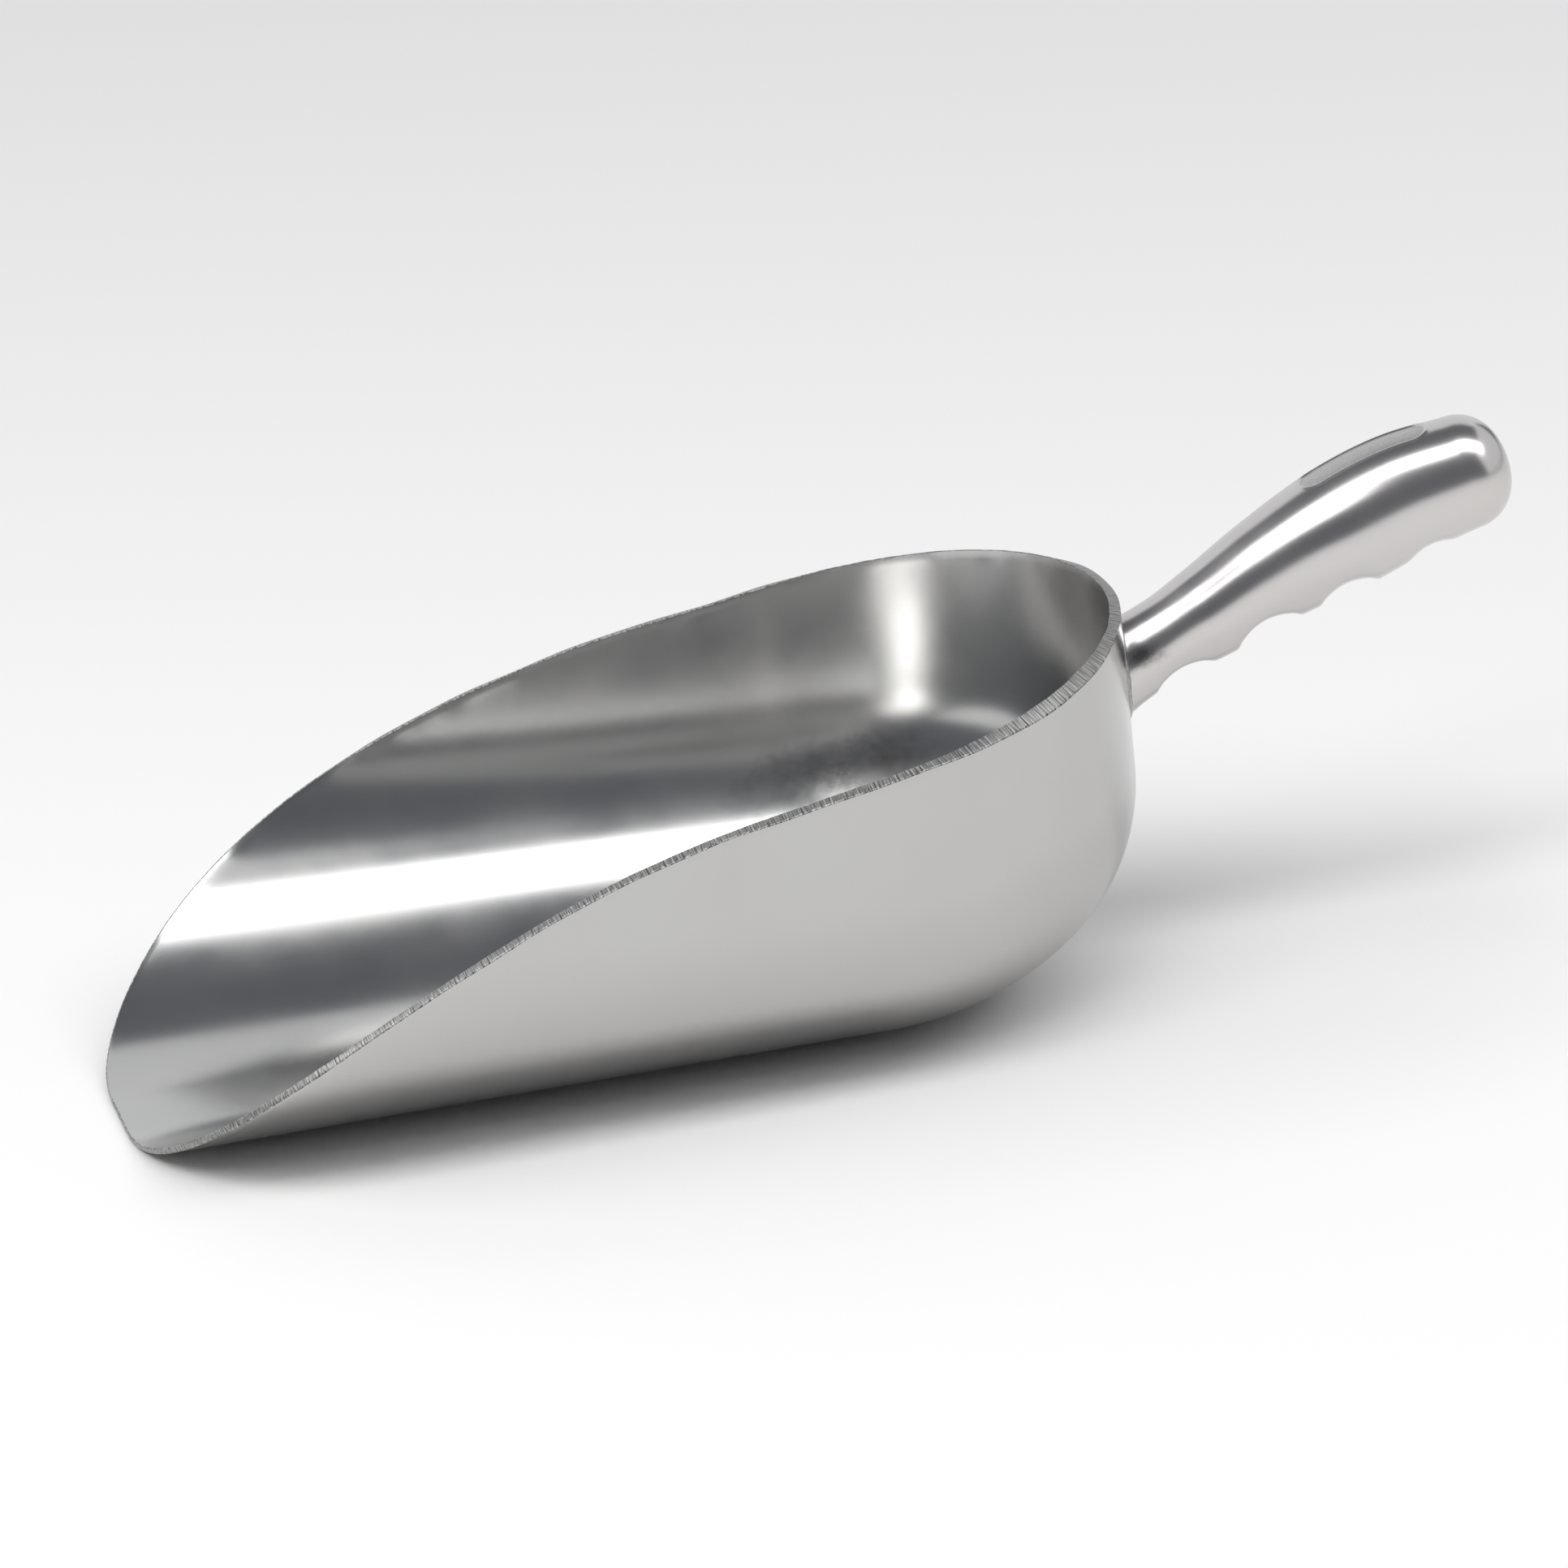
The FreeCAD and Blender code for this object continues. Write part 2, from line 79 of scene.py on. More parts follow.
def gridFaces(rows, columns, closed=False):
    # quads between neighbouring rows and columns; closed joins the last column to the first
    index = np.arange(rows * columns).reshape(rows, columns)
    right = np.roll(index, -1, axis=1) if closed else index[:, 1:]
    left = index if closed else index[:, :-1]
    return np.stack([left[:-1], right[:-1], right[1:], left[1:]], axis=-1).reshape(-1, 4)


def meshPiece(name, points, faces, uv, materials, materialIndex=None):
    # a smooth mesh from whole arrays: points, quads and one uv pair per point. points that fall
    # together are merged, and the faces are then turned outwards
    mesh = bpy.data.meshes.new(name)
    mesh.from_pydata(points.reshape(-1, 3).tolist(), [], faces.tolist())
    if materialIndex is not None:
        mesh.polygons.foreach_set("material_index", np.asarray(materialIndex, np.int32))
    pointOfCorner = np.empty(len(mesh.loops), np.int32)
    mesh.loops.foreach_get("vertex_index", pointOfCorner)
    layer = mesh.uv_layers.new(name="along")
    layer.data.foreach_set("uv", uv.reshape(-1, 2)[pointOfCorner].astype(np.float32).ravel())
    work = bmesh.new()
    work.from_mesh(mesh)
    bmesh.ops.remove_doubles(work, verts=work.verts, dist=mergeDistance)
    bmesh.ops.recalc_face_normals(work, faces=work.faces)
    work.to_mesh(mesh)
    work.free()
    mesh.polygons.foreach_set("use_smooth", np.ones(len(mesh.polygons), bool))
    for material in materials:
        mesh.materials.append(material)
    piece = bpy.data.objects.new(name, mesh)
    bpy.context.scene.collection.objects.link(piece)
    print("made", name, "with", len(mesh.polygons), "faces")
    return piece


bowlShape = dict(
    backRadius=68.0 * mm,      # outside of the turned back wall
    bellyRadius=63.0 * mm,     # arc from the resting strip, first 45 degrees
    cornerRadius=44.0 * mm,    # arc up to the upright wall, other 45 degrees
    wall=2.5 * mm,
    widening=9.5 * mm,         # extra half-width at the front of the taper
    taperLength=176.0 * mm,
    taperSoftness=14.0 * mm,   # how gradually the taper begins
    rimSlope=math.radians(9.6),
    rimStraight=97.0 * mm,
    rimArc=256.5 * mm,
    lipThinning=0.45,          # share of the wall that wear and grinding took off at the lip
    thinningLength=130.0 * mm,
    edgeRound=0.3 * mm,        # rounding of the filed edge
    filingReach=12,            # more keeps what was filed away closer to the edge
    rimWobble=0.2 * mm,        # unevenness of the hand-filed wall at the edge
    rimWaves=(9, 17, 31, 53),  # its lengths in mm
    wobbleFade=60,             # more keeps that unevenness closer to the edge
    bevelDrop=0.6 * mm,        # how much lower the outer side of the filed edge is
    bevelWobble=0.28 * mm,
    bevelWaves=(23, 41, 73),   # lengths of that wobble in mm
    bevelBack=1.5 * mm,        # extra drop where the sides turn into the back
    bevelBackAt=math.radians(50),      # where that is, as an angle in plan from straight back
    bevelBackSpread=math.radians(22),
    bevelLipShare=0.3,         # part of the drop that is left at the lip
    bevelLipLength=30.0 * mm,
    sideStations=150,
    backStations=110,
    wallColumns=56,
    cornerSteps=5,
    rimSamples=4000,           # fineness of the curve on which the stations are spaced
    innerStart=0.8,            # how far behind the lip the middle line starts, in strip half-widths
    innerCrowding=1.15,        # more crowds the stations on the middle line towards the lip
)


def bowlFrame():
    # places that the rim needs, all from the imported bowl's box: the back axis one radius in from the
    # back, the bend one straight length in and down its slope, and the arc's centre square to the
    # slope there. the lip is where that arc comes down to the floor
    low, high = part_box("bowl")
    b = bowlShape
    centreX = high.x - b["backRadius"]
    bendX = high.x - b["rimStraight"]
    bendZ = high.z - b["rimStraight"] * math.tan(b["rimSlope"])
    arcX = bendX + b["rimArc"] * math.sin(b["rimSlope"])
    arcZ = bendZ - b["rimArc"] * math.cos(b["rimSlope"])
    lipX = arcX - math.sqrt(b["rimArc"] ** 2 - arcZ ** 2)
    return dict(centreX=centreX, backX=high.x, rimZ=high.z, bendX=bendX, arcX=arcX, arcZ=arcZ, lipX=lipX)


def rimHeight(x, f):
    # straight fall from the back, then the tangent arc down to the lip
    b = bowlShape
    straight = f["rimZ"] - (f["backX"] - x) * math.tan(b["rimSlope"])
    arc = f["arcZ"] + np.sqrt(np.maximum(b["rimArc"] ** 2 - (x - f["arcX"]) ** 2, 0))
    return np.where(x >= f["bendX"], straight, arc)


def sectionSizes(x, f):
    # flat strip, belly arc and corner arc at x. the half-width grows along a hyperbola, which is level
    # at the back axis and nearly straight further forward, and both arcs grow in step with it
    b = bowlShape
    sine = math.sin(math.pi / 4)
    strip = b["backRadius"] - sine * b["bellyRadius"] - (1 - sine) * b["cornerRadius"]
    soft = b["taperSoftness"]
    forward = np.maximum(f["centreX"] - x, 0)
    rise = (np.hypot(forward, soft) - soft) / (math.hypot(b["taperLength"], soft) - soft)
    width = b["backRadius"] + b["widening"] * rise
    share = (width - strip) / (b["backRadius"] - strip)
    return strip, b["bellyRadius"] * share, b["cornerRadius"] * share


def sectionLength(z, sizes):
    # length along the section, from its middle, at which it reaches height z: each arc by the
    # arccosine of how far it has climbed, and the wall by height alone
    strip, belly, corner = sizes
    joinZ = belly * (1 - math.cos(math.pi / 4))
    wallZ = joinZ + corner * math.cos(math.pi / 4)
    low = strip + belly * np.arccos(np.clip(1 - z / belly, -1, 1))
    bent = strip + belly * math.pi / 4
    mid = bent + corner * (np.arccos(np.clip((wallZ - z) / corner, -1, 1)) - math.pi / 4)
    high = bent + corner * math.pi / 4 + (z - wallZ)
    return np.where(z < joinZ, low, np.where(z < wallZ, mid, high))


def sectionPoint(length, sizes):
    # reach, height and turn of the section at a length: strip, 45 degrees of belly, 45 of corner, wall
    strip, belly, corner = sizes
    quarter = math.pi / 4
    sine = math.sin(quarter)
    bellyTurn = np.clip((length - strip) / belly, 0, quarter)
    cornerTurn = np.clip((length - strip - belly * quarter) / corner, 0, quarter)
    upright = np.maximum(length - strip - (belly + corner) * quarter, 0)
    turn = bellyTurn + cornerTurn
    reach = (np.minimum(length, strip) + belly * np.sin(bellyTurn)
             + corner * (np.sin(quarter + cornerTurn) - sine))
    height = (belly * (1 - np.cos(bellyTurn)) + corner * (sine - np.cos(quarter + cornerTurn)) + upright)
    return reach, height, turn


def bowlStations(f):
    # stations round the bowl: lip centre, along one side, round the back, and home along the other side,
    # spaced evenly along the rim's own length. each gives its x on the middle line, its x at the rim,
    # its length along the section there and its heading in plan
    b = bowlShape
    count = b["sideStations"]
    strip = sectionSizes(np.array(f["lipX"]), f)[0]
    x = f["lipX"] + (f["centreX"] - f["lipX"]) * np.linspace(0, 1, b["rimSamples"]) ** 2
    sizes = sectionSizes(x, f)
    length = sectionLength(rimHeight(x, f), sizes)
    reach, height, _ = sectionPoint(length, sizes)
    edgeX = np.concatenate([[f["lipX"]], x])
    edgeLength = np.concatenate([[0], length])
    edgeY = np.concatenate([[0], reach])
    edgeZ = np.concatenate([[0], height])
    travel = np.concatenate([[0], np.cumsum(np.sqrt(
        np.diff(edgeX) ** 2 + np.diff(edgeY) ** 2 + np.diff(edgeZ) ** 2))])
    step = np.linspace(0, travel[-1], count)
    rimX = np.interp(step, travel, edgeX)
    rimLength = np.interp(step, travel, edgeLength)
    share = step / travel[-1]
    firstInner = f["lipX"] + strip * b["innerStart"]
    innerX = firstInner + (f["centreX"] - firstInner) * share ** b["innerCrowding"]
    innerX = np.maximum(innerX, rimX)
    heading = np.full(count, -math.pi / 2)
    backAngle = np.linspace(-math.pi / 2, math.pi / 2, b["backStations"])[1:-1]
    fullX = np.full(len(backAngle), f["centreX"])
    return (np.concatenate([innerX, fullX, innerX[::-1]]),
            np.concatenate([rimX, fullX, rimX[::-1]]),
            np.concatenate([rimLength, np.zeros(len(backAngle)), rimLength[::-1]]),
            np.concatenate([heading, backAngle, -heading[::-1]]))


def bowlSkin(f):
    # outside points and outward normals on a grid of stations by columns, middle line to rim. each
    # station sweeps its section's length, while its x moves to the rim with the square of the share.
    # round the back the same section is turned about the back axis
    b = bowlShape
    innerX, rimX, rimLength, heading = bowlStations(f)
    isBack = np.abs(heading) < math.pi / 2 - nearlyZero
    backRim = rimHeight(f["centreX"] + b["backRadius"] * np.cos(heading), f)
    backSizes = sectionSizes(np.array(f["centreX"]), f)
    rimLength = np.where(isBack, sectionLength(backRim, backSizes), rimLength)
    v = np.linspace(0, 1, b["wallColumns"])[None, :]
    x = innerX[:, None] + (rimX - innerX)[:, None] * v ** 2
    sizes = sectionSizes(x, f)
    reach, height, turn = sectionPoint(rimLength[:, None] * v, sizes)
    cosine, sine = np.cos(heading)[:, None], np.sin(heading)[:, None]
    cosine = np.where(isBack[:, None], cosine, 0)
    points = np.stack([x + reach * cosine, reach * sine, height], -1)
    normals = np.stack([np.sin(turn) * cosine, np.sin(turn) * sine, -np.cos(turn)], -1)
    return points, normals


def roundedCorner(start, middle, stop, steps):
    # rounded corner: a quadratic curve from start to stop that is pulled towards middle
    t = np.linspace(0, 1, steps)[None, :, None]
    return (1 - t) ** 2 * start[:, None] + 2 * t * (1 - t) * middle[:, None] + t ** 2 * stop[:, None]


def slowWave(length, seed, waves, amplitude):
    # smooth uneven line: a few sines of seeded length and phase
    random = np.random.default_rng(seed)
    total = np.zeros_like(length)
    for wave in waves:
        total += np.sin(2 * math.pi * length / (wave * mm) + random.uniform(0, 2 * math.pi)) / len(waves)
    return amplitude * total


def wallThickness(edge, travel, f):
    # thickness by station and column, and each station's share of it: the wall, uneven at the very
    # edge, times a share that falls in a smooth step to what is left at the lip
    b = bowlShape
    uneven = slowWave(travel, 3, b["rimWaves"], b["rimWobble"])
    share = np.linspace(0, 1, b["wallColumns"])
    fromLip = np.clip((edge[:, 0] - f["lipX"]) / b["thinningLength"], 0, 1)
    thin = 1 - b["lipThinning"] * (1 - fromLip ** 2 * (3 - 2 * fromLip))
    return (b["wall"] + uneven[:, None] * share ** b["wobbleFade"]) * thin[:, None], thin


def filedDrop(edge, travel, thin, f):
    # how much lower the file left the outer side of the edge: a slow wave, a swelling where each side
    # turns into the back, and less towards the lip
    b = bowlShape
    turn = np.abs(np.abs(np.arctan2(edge[:, 1], edge[:, 0] - f["centreX"])) - b["bevelBackAt"])
    drop = b["bevelDrop"] + slowWave(travel, 8, b["bevelWaves"], b["bevelWobble"])
    drop = drop + b["bevelBack"] * np.exp(-(turn / b["bevelBackSpread"]) ** 2)
    for fromEnd in (travel, travel[-1] - travel):
        drop = drop * np.clip(fromEnd / b["bevelLipLength"], b["bevelLipShare"], 1)
    return drop * thin


def makeBowl(materials):
    # outside skin, filed edge that slopes outwards, and the inside skin one wall thickness in along
    # the normals. the edge runs between two rounded corners, and is lower outside by the filed drop
    b = bowlShape
    f = bowlFrame()
    outer, normal = bowlSkin(f)
    edge, edgeNormal = outer[:, -1], normal[:, -1]
    along = np.gradient(edge, axis=0)
    along[0] = along[-1] = (0, -1, 0)
    along /= np.linalg.norm(along, axis=1, keepdims=True)
    inward = np.cross(along, edgeNormal)
    inward *= np.where((inward * (outer[:, -3] - edge)).sum(1) < 0, -1, 1)[:, None]
    travel = np.concatenate([[0], np.cumsum(np.linalg.norm(np.diff(edge, axis=0), axis=1))])
    thickness, thin = wallThickness(edge, travel, f)
    inner = outer - normal * thickness[:, :, None]
    drop = filedDrop(edge, travel, thin, f)
    lower = edge + inward * drop[:, None]
    r = b["edgeRound"]
    nearEdge = np.linspace(0, 1, b["wallColumns"]) ** b["filingReach"]
    outer = outer + (r + drop)[:, None, None] * nearEdge[None, :, None] * inward[:, None]
    inside = inner[:, -1]
    slope = inside - lower
    slope /= np.linalg.norm(slope, axis=1, keepdims=True)
    outerCorner = roundedCorner(lower + r * inward, lower, lower + r * slope, b["cornerSteps"])
    innerCorner = roundedCorner(inside - r * slope, inside, inside + r * inward, b["cornerSteps"])
    grid = np.concatenate([outer[:, :-1], outerCorner, innerCorner, inner[:, -2::-1]], axis=1)
    rows, columns = grid.shape[:2]
    column = np.tile(np.arange(columns - 1), rows - 1)
    firstRim = b["wallColumns"] - 1
    isRim = (column >= firstRim) & (column < firstRim + 2 * b["cornerSteps"] - 1)
    across = np.linspace(0, 1, columns)
    uv = np.stack(np.broadcast_arrays(travel[:, None], across[None, :]), -1)
    bowl = meshPiece("bowl_shell", grid, gridFaces(rows, columns), uv, materials, isRim.astype(int))
    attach(bowl, "root")
    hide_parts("bowl")


gripShape = dict(
    # oval stations from the root to the rounded end: x from the back axis, z and half-height
    stations=(                 # all in mm
        (61.0, 67.2, 14.2),
        (70.0, 69.5, 10.3),
        (77.9, 72.7, 9.8),
        (89.1, 77.7, 11.0),
        (104.1, 85.3, 12.7),
        (120.1, 92.1, 14.5),
        (135.9, 97.9, 14.3),
        (149.0, 100.7, 13.3),
    ),
    ovalRatio=0.92,
    polishedOff=0.12 * mm,     # what polishing took off the casting all round
    domeLength=11.15 * mm,
    domeFullness=2.2,          # 2 is a plain ellipse, more is blunter
    # deepest line of each finger groove: x from the back axis, z, tilt
    grooves=((81.2, 66.6, 21.5), (100.0, 74.2, 27.0), (119.1, 79.8, 23.0), (140.3, 86.0, 16.0)),
    fingerRadius=11.1 * mm,
    fingerCrown=17.9 * mm,     # rounding of each groove across the handle
    grooveSoftness=0.8 * mm,   # how far polishing has rounded the sides of the grooves
    crestSoftness=0.35 * mm,   # and the crests between them
    crownLimit=0.95,           # share of the crown's square that the square root may use up
    panelCentre=130.5 * mm,
    panelLength=28.0 * mm,
    panelWidth=8.0 * mm,
    panelDepth=0.45 * mm,
    panelEdge=0.1 * mm,
    edgeLimit=40,              # keeps the exponential at the panel's edge within range
    panelLip=0.16 * mm,        # height of the rounded lip round the panel
    lipWidth=0.3 * mm,
    lipPlace=1.5,              # how far its crest stands outside the panel, in lip widths
    embed=0.8 * mm,            # how far the root reaches into the back wall
    rootGuess=5.0 * mm,        # where the search for the root's length starts
    rootRounds=30,
    tiltStep=0.05 * mm,        # half the distance over which the tilt is measured
    alongCount=330,
    domeCount=30,
    roundCount=180,
    crowding=0.55,             # 0 spaces the columns evenly, more crowds them towards the top
)


def smoothRun(knots, values, at):
    # cubic between neighbouring values: each end's value and slope weighted by the usual four
    # polynomials of the share travelled, with the slopes taken from the neighbours
    slope = np.gradient(values, knots)
    i = np.clip(np.searchsorted(knots, at, side="right") - 1, 0, len(knots) - 2)
    span = knots[i + 1] - knots[i]
    t = (at - knots[i]) / span
    return ((2 * t ** 3 - 3 * t ** 2 + 1) * values[i] + (t ** 3 - 2 * t ** 2 + t) * span * slope[i]
            + (3 * t ** 2 - 2 * t ** 3) * values[i + 1] + (t ** 3 - t ** 2) * span * slope[i + 1])


def gripLine(at, centreX):
    # middle, tilt and half-height at a length along the handle, and the length of the whole run.
    # the length is counted in straight steps from station to station, and the tilt is the angle
    # between points just ahead and just behind
    g = gripShape
    table = np.array(g["stations"]) * mm
    x, z, half = centreX + table[:, 0], table[:, 1], table[:, 2] - g["polishedOff"]
    knots = np.concatenate([[0], np.cumsum(np.hypot(np.diff(x), np.diff(z)))])
    total = knots[-1]
    inside = np.clip(at, 0, total)
    ahead = np.minimum(inside + g["tiltStep"], total)
    behind = np.maximum(inside - g["tiltStep"], 0)
    tilt = np.arctan2(smoothRun(knots, z, ahead) - smoothRun(knots, z, behind),
                      smoothRun(knots, x, ahead) - smoothRun(knots, x, behind))
    return (smoothRun(knots, x, inside), smoothRun(knots, z, inside), tilt,
            smoothRun(knots, half, inside), total)


def grooveLift(px, pz, tilt, half, centreX):
    # how far a finger groove raises the underside: half-height less the depth at which a line from the
    # middle, straight down the section, meets the groove's circle. the deepest groove counts, softened
    # at zero. the crown across the grip comes later, in gripPoint
    g = gripShape
    r = g["fingerRadius"]
    lift = np.full_like(px, -farAway)
    for x, z, lean in g["grooves"]:
        lean = math.radians(lean)
        dx = px - (centreX + x * mm + r * math.sin(lean))
        dz = pz - (z * mm - r * math.cos(lean))
        along = dx * np.sin(tilt) - dz * np.cos(tilt)
        gap = r ** 2 - (dx ** 2 + dz ** 2 - along ** 2)
        depth = -along - np.sqrt(np.maximum(gap, 0))
        lift = np.maximum(lift, np.where(gap > 0, half - depth, -farAway))
    soft = g["crestSoftness"]
    return soft * np.logaddexp(0, lift / soft)


def gripPoint(at, angle, centreX):
    # surface point at a length and an angle from the top: an oval, raised below to a crowned floor where
    # a finger lies, sunk inside the label panel by an S-shaped step with a bell-shaped lip round it, and
    # closed past the last station by an end that shrinks as a blunted ellipse.
    # also gives how far the point is outside the panel's edge
    g = gripShape
    px, pz, tilt, half, total = gripLine(at, centreX)
    past = np.clip((at - total) / g["domeLength"], 0, 1)
    closing = (1 - past ** g["domeFullness"]) ** (1 / g["domeFullness"])
    px = px + np.cos(tilt) * past * g["domeLength"]
    pz = pz + np.sin(tilt) * past * g["domeLength"]
    lift = grooveLift(px, pz, tilt, half, centreX)
    up = half * np.cos(angle) * closing
    side = half * g["ovalRatio"] * np.sin(angle) * closing
    crown = g["fingerCrown"]
    floor = crown - np.sqrt(crown ** 2 - np.minimum(side ** 2, g["crownLimit"] * crown ** 2))
    floor = floor - (half - lift) * closing
    soft = np.minimum(g["grooveSoftness"], 0.5 * lift) + nearlyZero
    up = floor + soft * np.logaddexp(0, (up - floor) / soft)
    along = (px - centreX - g["panelCentre"]) / np.cos(tilt)
    reach = (g["panelLength"] - g["panelWidth"]) / 2
    outside = np.hypot(np.maximum(np.abs(along) - reach, 0), side) - g["panelWidth"] / 2
    outside = np.where(np.cos(angle) > 0, outside, farAway)
    sink = g["panelDepth"] / (1 + np.exp(np.clip(outside / g["panelEdge"], -g["edgeLimit"], g["edgeLimit"])))
    lip = g["panelLip"] * np.exp(-((outside - g["lipPlace"] * g["lipWidth"]) / g["lipWidth"]) ** 2)
    up = up + (lip - sink) * np.cos(angle)
    return np.stack([px - np.sin(tilt) * up, side, pz + np.cos(tilt) * up], -1), outside


def rootLength(angle, radius, centreX):
    # length at which the handle's skin stands on an upright cylinder: each round adds what the point
    # still lacks of the cylinder's radius
    length = np.full_like(angle, gripShape["rootGuess"])
    for _ in range(gripShape["rootRounds"]):
        p, _ = gripPoint(length, angle, centreX)
        length = length + radius - np.hypot(p[..., 0] - centreX, p[..., 1])
    return length


def makeHandle(materials):
    # the oval skin from just inside the back wall to the closed end, on a grid of lengths by angles. the
    # angles crowd towards the top by a sine, and the lengths crowd towards the tip of the rounded end
    g = gripShape
    centreX = bowlFrame()["centreX"]
    total = gripLine(np.array([0.0]), centreX)[4]
    turn = np.linspace(0, 2 * math.pi, g["roundCount"], endpoint=False)[None, :]
    angle = turn - g["crowding"] * np.sin(turn)
    start = rootLength(angle, bowlShape["backRadius"] - g["embed"], centreX)
    body = start + (total - start) * np.linspace(0, 1, g["alongCount"])[:, None]
    end = total + g["domeLength"] * np.sin(np.linspace(0, math.pi / 2, g["domeCount"]))[1:, None] + 0 * angle
    at = np.concatenate([body, end])
    grid, outside = gripPoint(at, angle + 0 * at, centreX)
    faces = gridFaces(*grid.shape[:2], closed=True)
    inPanel = (outside.ravel()[faces] < 0).all(axis=1)
    uv = np.stack(np.broadcast_arrays(at, turn / (2 * math.pi)), -1)
    handle = meshPiece("handle_grip", grid, faces, uv, materials, inPanel.astype(int))
    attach(handle, "root")
    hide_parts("handle")


beadShape = dict(
    wallReach=1.2 * mm,        # how far the weld spreads over the back wall
    gripReach=1.0 * mm,        # and along the handle
    bulge=0.8,                 # 0 is hollow, 1 fills the corner up to the full square
    unevenness=0.14 * mm,
    waves=(2.1, 3.3, 5.1, 8.7),    # lengths of that unevenness in mm
    meanRadius=11.0 * mm,      # turns an angle into a length round the root
    bury=0.4 * mm,             # how far its hidden back reaches into both parts
    roundCount=360,
    profileCount=9,
)


def makeBead(materials):
    # a ring round the handle's root: at each angle a quadratic curve from the wall to the handle, pulled
    # towards the far corner of the square on the root, and closed behind by a line inside the metal
    b = beadShape
    centreX = bowlFrame()["centreX"]
    wallRadius = bowlShape["backRadius"]
    angle = np.linspace(0, 2 * math.pi, b["roundCount"], endpoint=False)
    length = rootLength(angle, wallRadius, centreX)
    root, _ = gripPoint(length, angle, centreX)
    travel = angle * b["meanRadius"]
    uneven = slowWave(travel, 5, b["waves"], b["unevenness"])[:, None]
    onGrip, _ = gripPoint(length + b["gripReach"] + uneven[:, 0], angle, centreX)
    middle = root.mean(axis=0)
    away = root - middle
    away[:, 0] = 0
    away /= np.linalg.norm(away, axis=1, keepdims=True)
    onWall = root + away * (b["wallReach"] - uneven)
    onWall[:, 0] = centreX + np.sqrt(wallRadius ** 2 - onWall[:, 1] ** 2)
    pull = root + b["bulge"] * (onWall + onGrip - 2 * root)
    face = roundedCorner(onWall, pull, onGrip, b["profileCount"])
    radial = (root - [centreX, 0, 0]) * [1, 1, 0] / wallRadius
    hidden = root - b["bury"] * (radial + away)
    back = np.stack([onGrip - b["bury"] * away, hidden, onWall - b["bury"] * radial], axis=1)
    grid = np.concatenate([face, back], axis=1)
    rows, columns = grid.shape[:2]
    index = np.arange(rows * columns).reshape(rows, columns)
    nextRow = np.roll(index, -1, axis=0)
    faces = np.stack([index, np.roll(index, -1, axis=1), np.roll(nextRow, -1, axis=1), nextRow], -1)
    uv = np.stack(np.broadcast_arrays(travel[:, None], np.linspace(0, 1, columns)[None, :]), -1)
    bead = meshPiece("weld_seam", grid, faces.reshape(-1, 4), uv, materials)
    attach(bead, "root")
    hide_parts("weld_bead")


polish = dict(
    bowlMetal="#c1c2c1",
    bowlMetalWarm="#c1bfbd",
    gripMetal="#d0cecd",       # the grip is buffed brighter than the bowl
    gripMetalWarm="#cfccc9",
    clouds=28.0 * mm,          # size of the patches left by the buffing wheel
    cloudRange=(0.35, 0.7),    # noise values between which the roughness goes up
    roughness=(0.19, 0.25),
    grain=0.45 * mm,           # buffing marks are finer, drawn this coarse so that they show
    grainHeight=0.002 * mm,
    spotAndShadeColour=0.3,           # share of the metal's brightness in the patch: painted shade on the bowl, an unbuffed spot on the grip
    patchRoughness=0.05,       # and how much rougher it is there
    patchBorder=(0.7, 1.6),    # ragged distances at which a patch starts to fade and is gone
    # middle and half-sizes of those places, and the size of their mottling, all in mm
    # the bowl's place is painted shade: a dark reflection painted on the inside of the far wall
    bowlPaintedShade=((22.0, 57.0, 31.0), (30.0, 14.0, 9.0), 4.0),
    gripPatch=((74.5, -8.6, 73.2), (6.0, 3.4, 3.0), 1.2),
)


